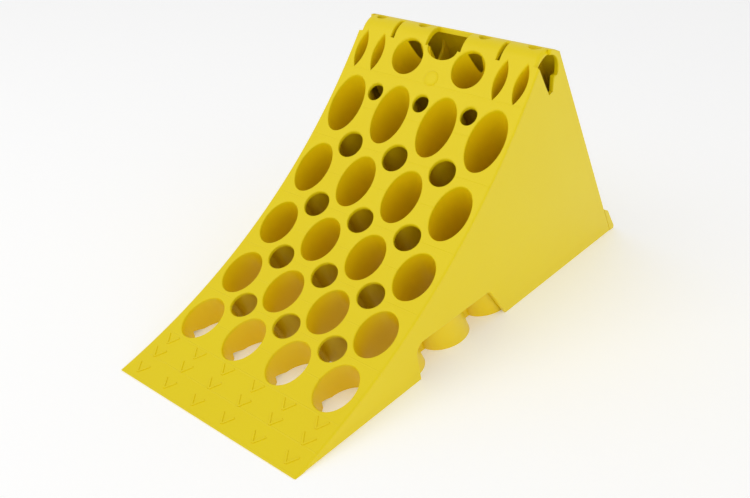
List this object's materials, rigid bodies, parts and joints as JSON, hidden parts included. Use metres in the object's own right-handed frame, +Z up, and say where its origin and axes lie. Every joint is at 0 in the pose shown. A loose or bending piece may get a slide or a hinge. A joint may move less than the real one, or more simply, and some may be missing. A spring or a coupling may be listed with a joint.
{
  "type": "wheel chock",
  "caption": "Hollow moulded yellow wheel chock with a curved, pierced tread deck, two side walls, a rear wall with a lip and a carrying passage under the crest.",
  "frame": {"origin": "on the floor, in the middle of the footprint", "axes": "+X across the chock, to the right seen from the toe; +Y from the toe to the heel; +Z up from the floor"},
  "size_m": [0.2, 0.47, 0.2243],
  "materials": {
    "shell": "satin moulded yellow",
    "core": "satin moulded yellow, seen only inside"
  },
  "bodies": {
    "root": {"toe_plate": "shell", "tread_band_1": "shell", "tread_band_2": "shell", "tread_band_3": "shell", "tread_band_4": "shell", "tread_band_5": "shell", "crest_band": "shell", "toe_arrows": "shell", "side_wall_left": "shell", "side_wall_right": "shell", "rear_wall": "shell", "heel_lip": "shell", "crest_cap": "shell", "hood_outer_left": "shell", "hood_inner_left": "shell", "hood_inner_right": "shell", "hood_outer_right": "shell", "grip_tubes_1": "core", "grip_tubes_2": "core", "grip_tubes_3": "core", "grip_tubes_4": "core", "grip_tubes_5": "core", "crest_tubes": "core", "crest_slots": "core", "long_rib_1": "core", "long_rib_2": "core", "long_rib_3": "core", "long_rib_4": "core"}
  },
  "joints": []
}
